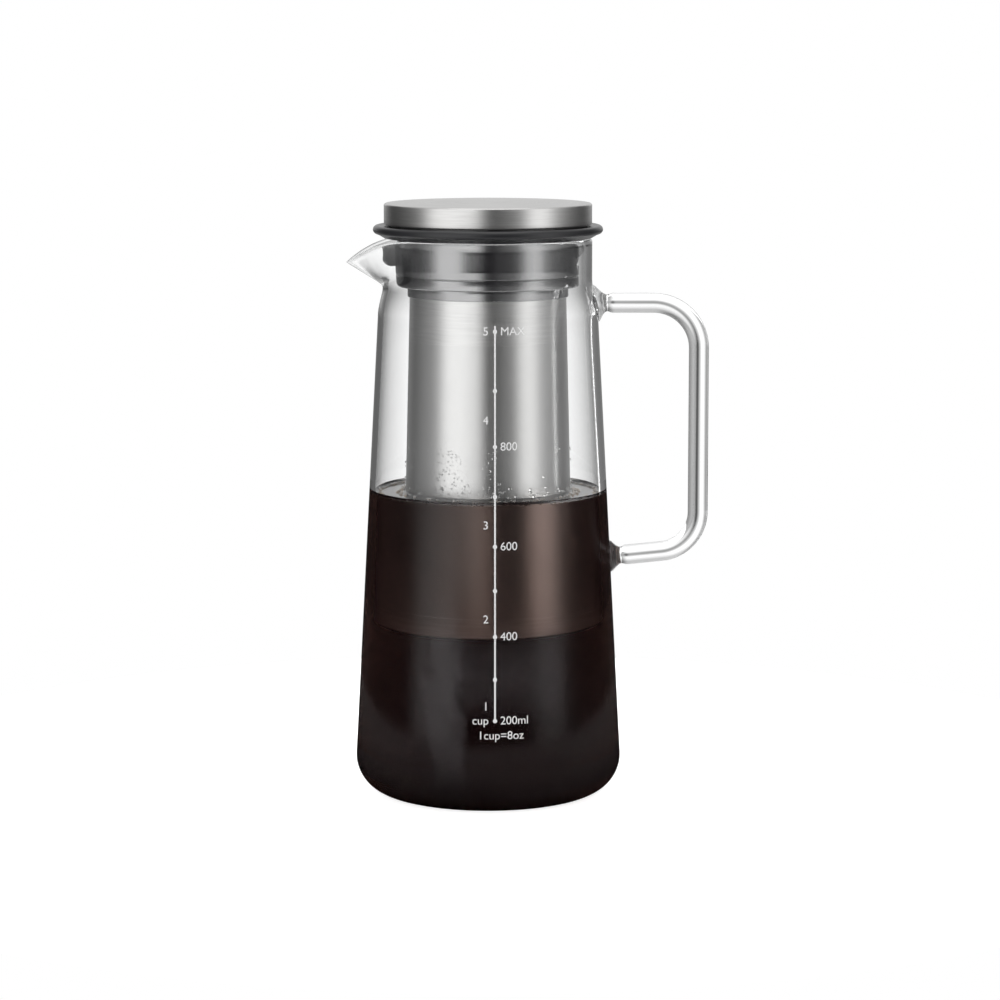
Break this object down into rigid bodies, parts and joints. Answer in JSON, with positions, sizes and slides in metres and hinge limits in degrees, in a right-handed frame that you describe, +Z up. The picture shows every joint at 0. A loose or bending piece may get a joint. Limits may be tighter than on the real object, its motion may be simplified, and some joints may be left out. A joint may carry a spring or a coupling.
{
  "type": "cold brew coffee maker",
  "caption": "Tapered glass jug with a pulled spout and a glass rod handle, a lift-out steel mesh filter in a black sealed holder, and a steel-capped lid.",
  "frame": {"origin": "centre of the jug's flat base, on the surface that it stands on", "axes": "+Z up along the jug's axis, +X towards the handle, -X towards the spout"},
  "size_m": [0.1359, 0.1004, 0.2236],
  "materials": {
    "clear_glass": "clear borosilicate",
    "coffee": "dark brown liquid",
    "black_silicone": "satin silicone",
    "black_plastic": "glossy moulded",
    "brushed_steel": "brushed stainless",
    "etched_steel": "fine perforated stainless"
  },
  "bodies": {
    "jug": {"glass_jug": "clear_glass", "glass_handle": "clear_glass", "handle_weld_top": "clear_glass", "handle_weld_bottom": "clear_glass", "brewed_coffee": "coffee"},
    "filter": {"seal_ring": "black_silicone", "filter_holder": "black_plastic", "filter_rim_band": "brushed_steel", "filter_mesh": "etched_steel", "filter_seam_strip": "etched_steel", "filter_base_ring": "brushed_steel", "filter_base_disc": "etched_steel"},
    "lid": {"lid_cap": "brushed_steel", "lid_core": "black_plastic", "plug_cover": "black_plastic", "plug_o_ring": "black_silicone"}
  },
  "joints": [
    {"name": "filter_lift", "type": "slide", "parent": "jug", "child": "filter", "axis": [0, 0, 1], "range_m": [0, 0.155]},
    {"name": "lid_lift", "type": "slide", "parent": "filter", "child": "lid", "axis": [0, 0, 1], "range_m": [0, 0.035]}
  ]
}
